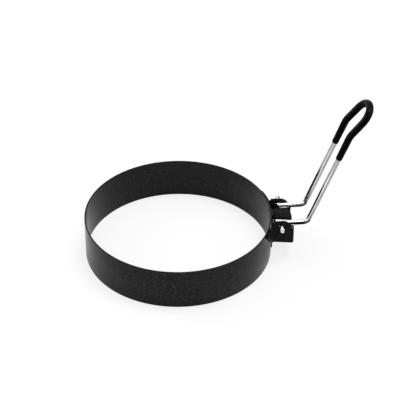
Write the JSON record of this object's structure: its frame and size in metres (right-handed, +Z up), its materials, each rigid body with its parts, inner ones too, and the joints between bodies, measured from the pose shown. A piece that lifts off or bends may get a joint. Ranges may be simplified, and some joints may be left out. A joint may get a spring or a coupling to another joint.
{
  "type": "egg ring",
  "caption": "Round sheet-metal ring that shapes a frying egg, with a folding wire handle on a pressed hinge bracket and a soft grip sleeve.",
  "frame": {"origin": "middle of the footprint box, on the plane that the band stands on", "axes": "+X from the band's axis along the handle, +Y across the handle, +Z up along the band's axis"},
  "size_m": [0.1126, 0.075, 0.0673],
  "materials": {
    "band_coat": "dark grey-black non-stick coating, satin, faintly speckled",
    "bracket_coat": "black coating, satin",
    "bright_wire": "bright polished round steel wire",
    "grip_vinyl": "glossy black soft vinyl"
  },
  "bodies": {
    "ring": {"ring_band": "band_coat", "hinge_bracket": "bracket_coat"},
    "handle": {"wire_handle": "bright_wire", "grip_sleeve": "grip_vinyl"}
  },
  "joints": [
    {"name": "handle_fold", "type": "hinge", "parent": "ring", "child": "handle", "pos_m": [0.02214, 0, 0.0154], "axis": [0, -1, 0], "range_deg": [0, 135]}
  ]
}
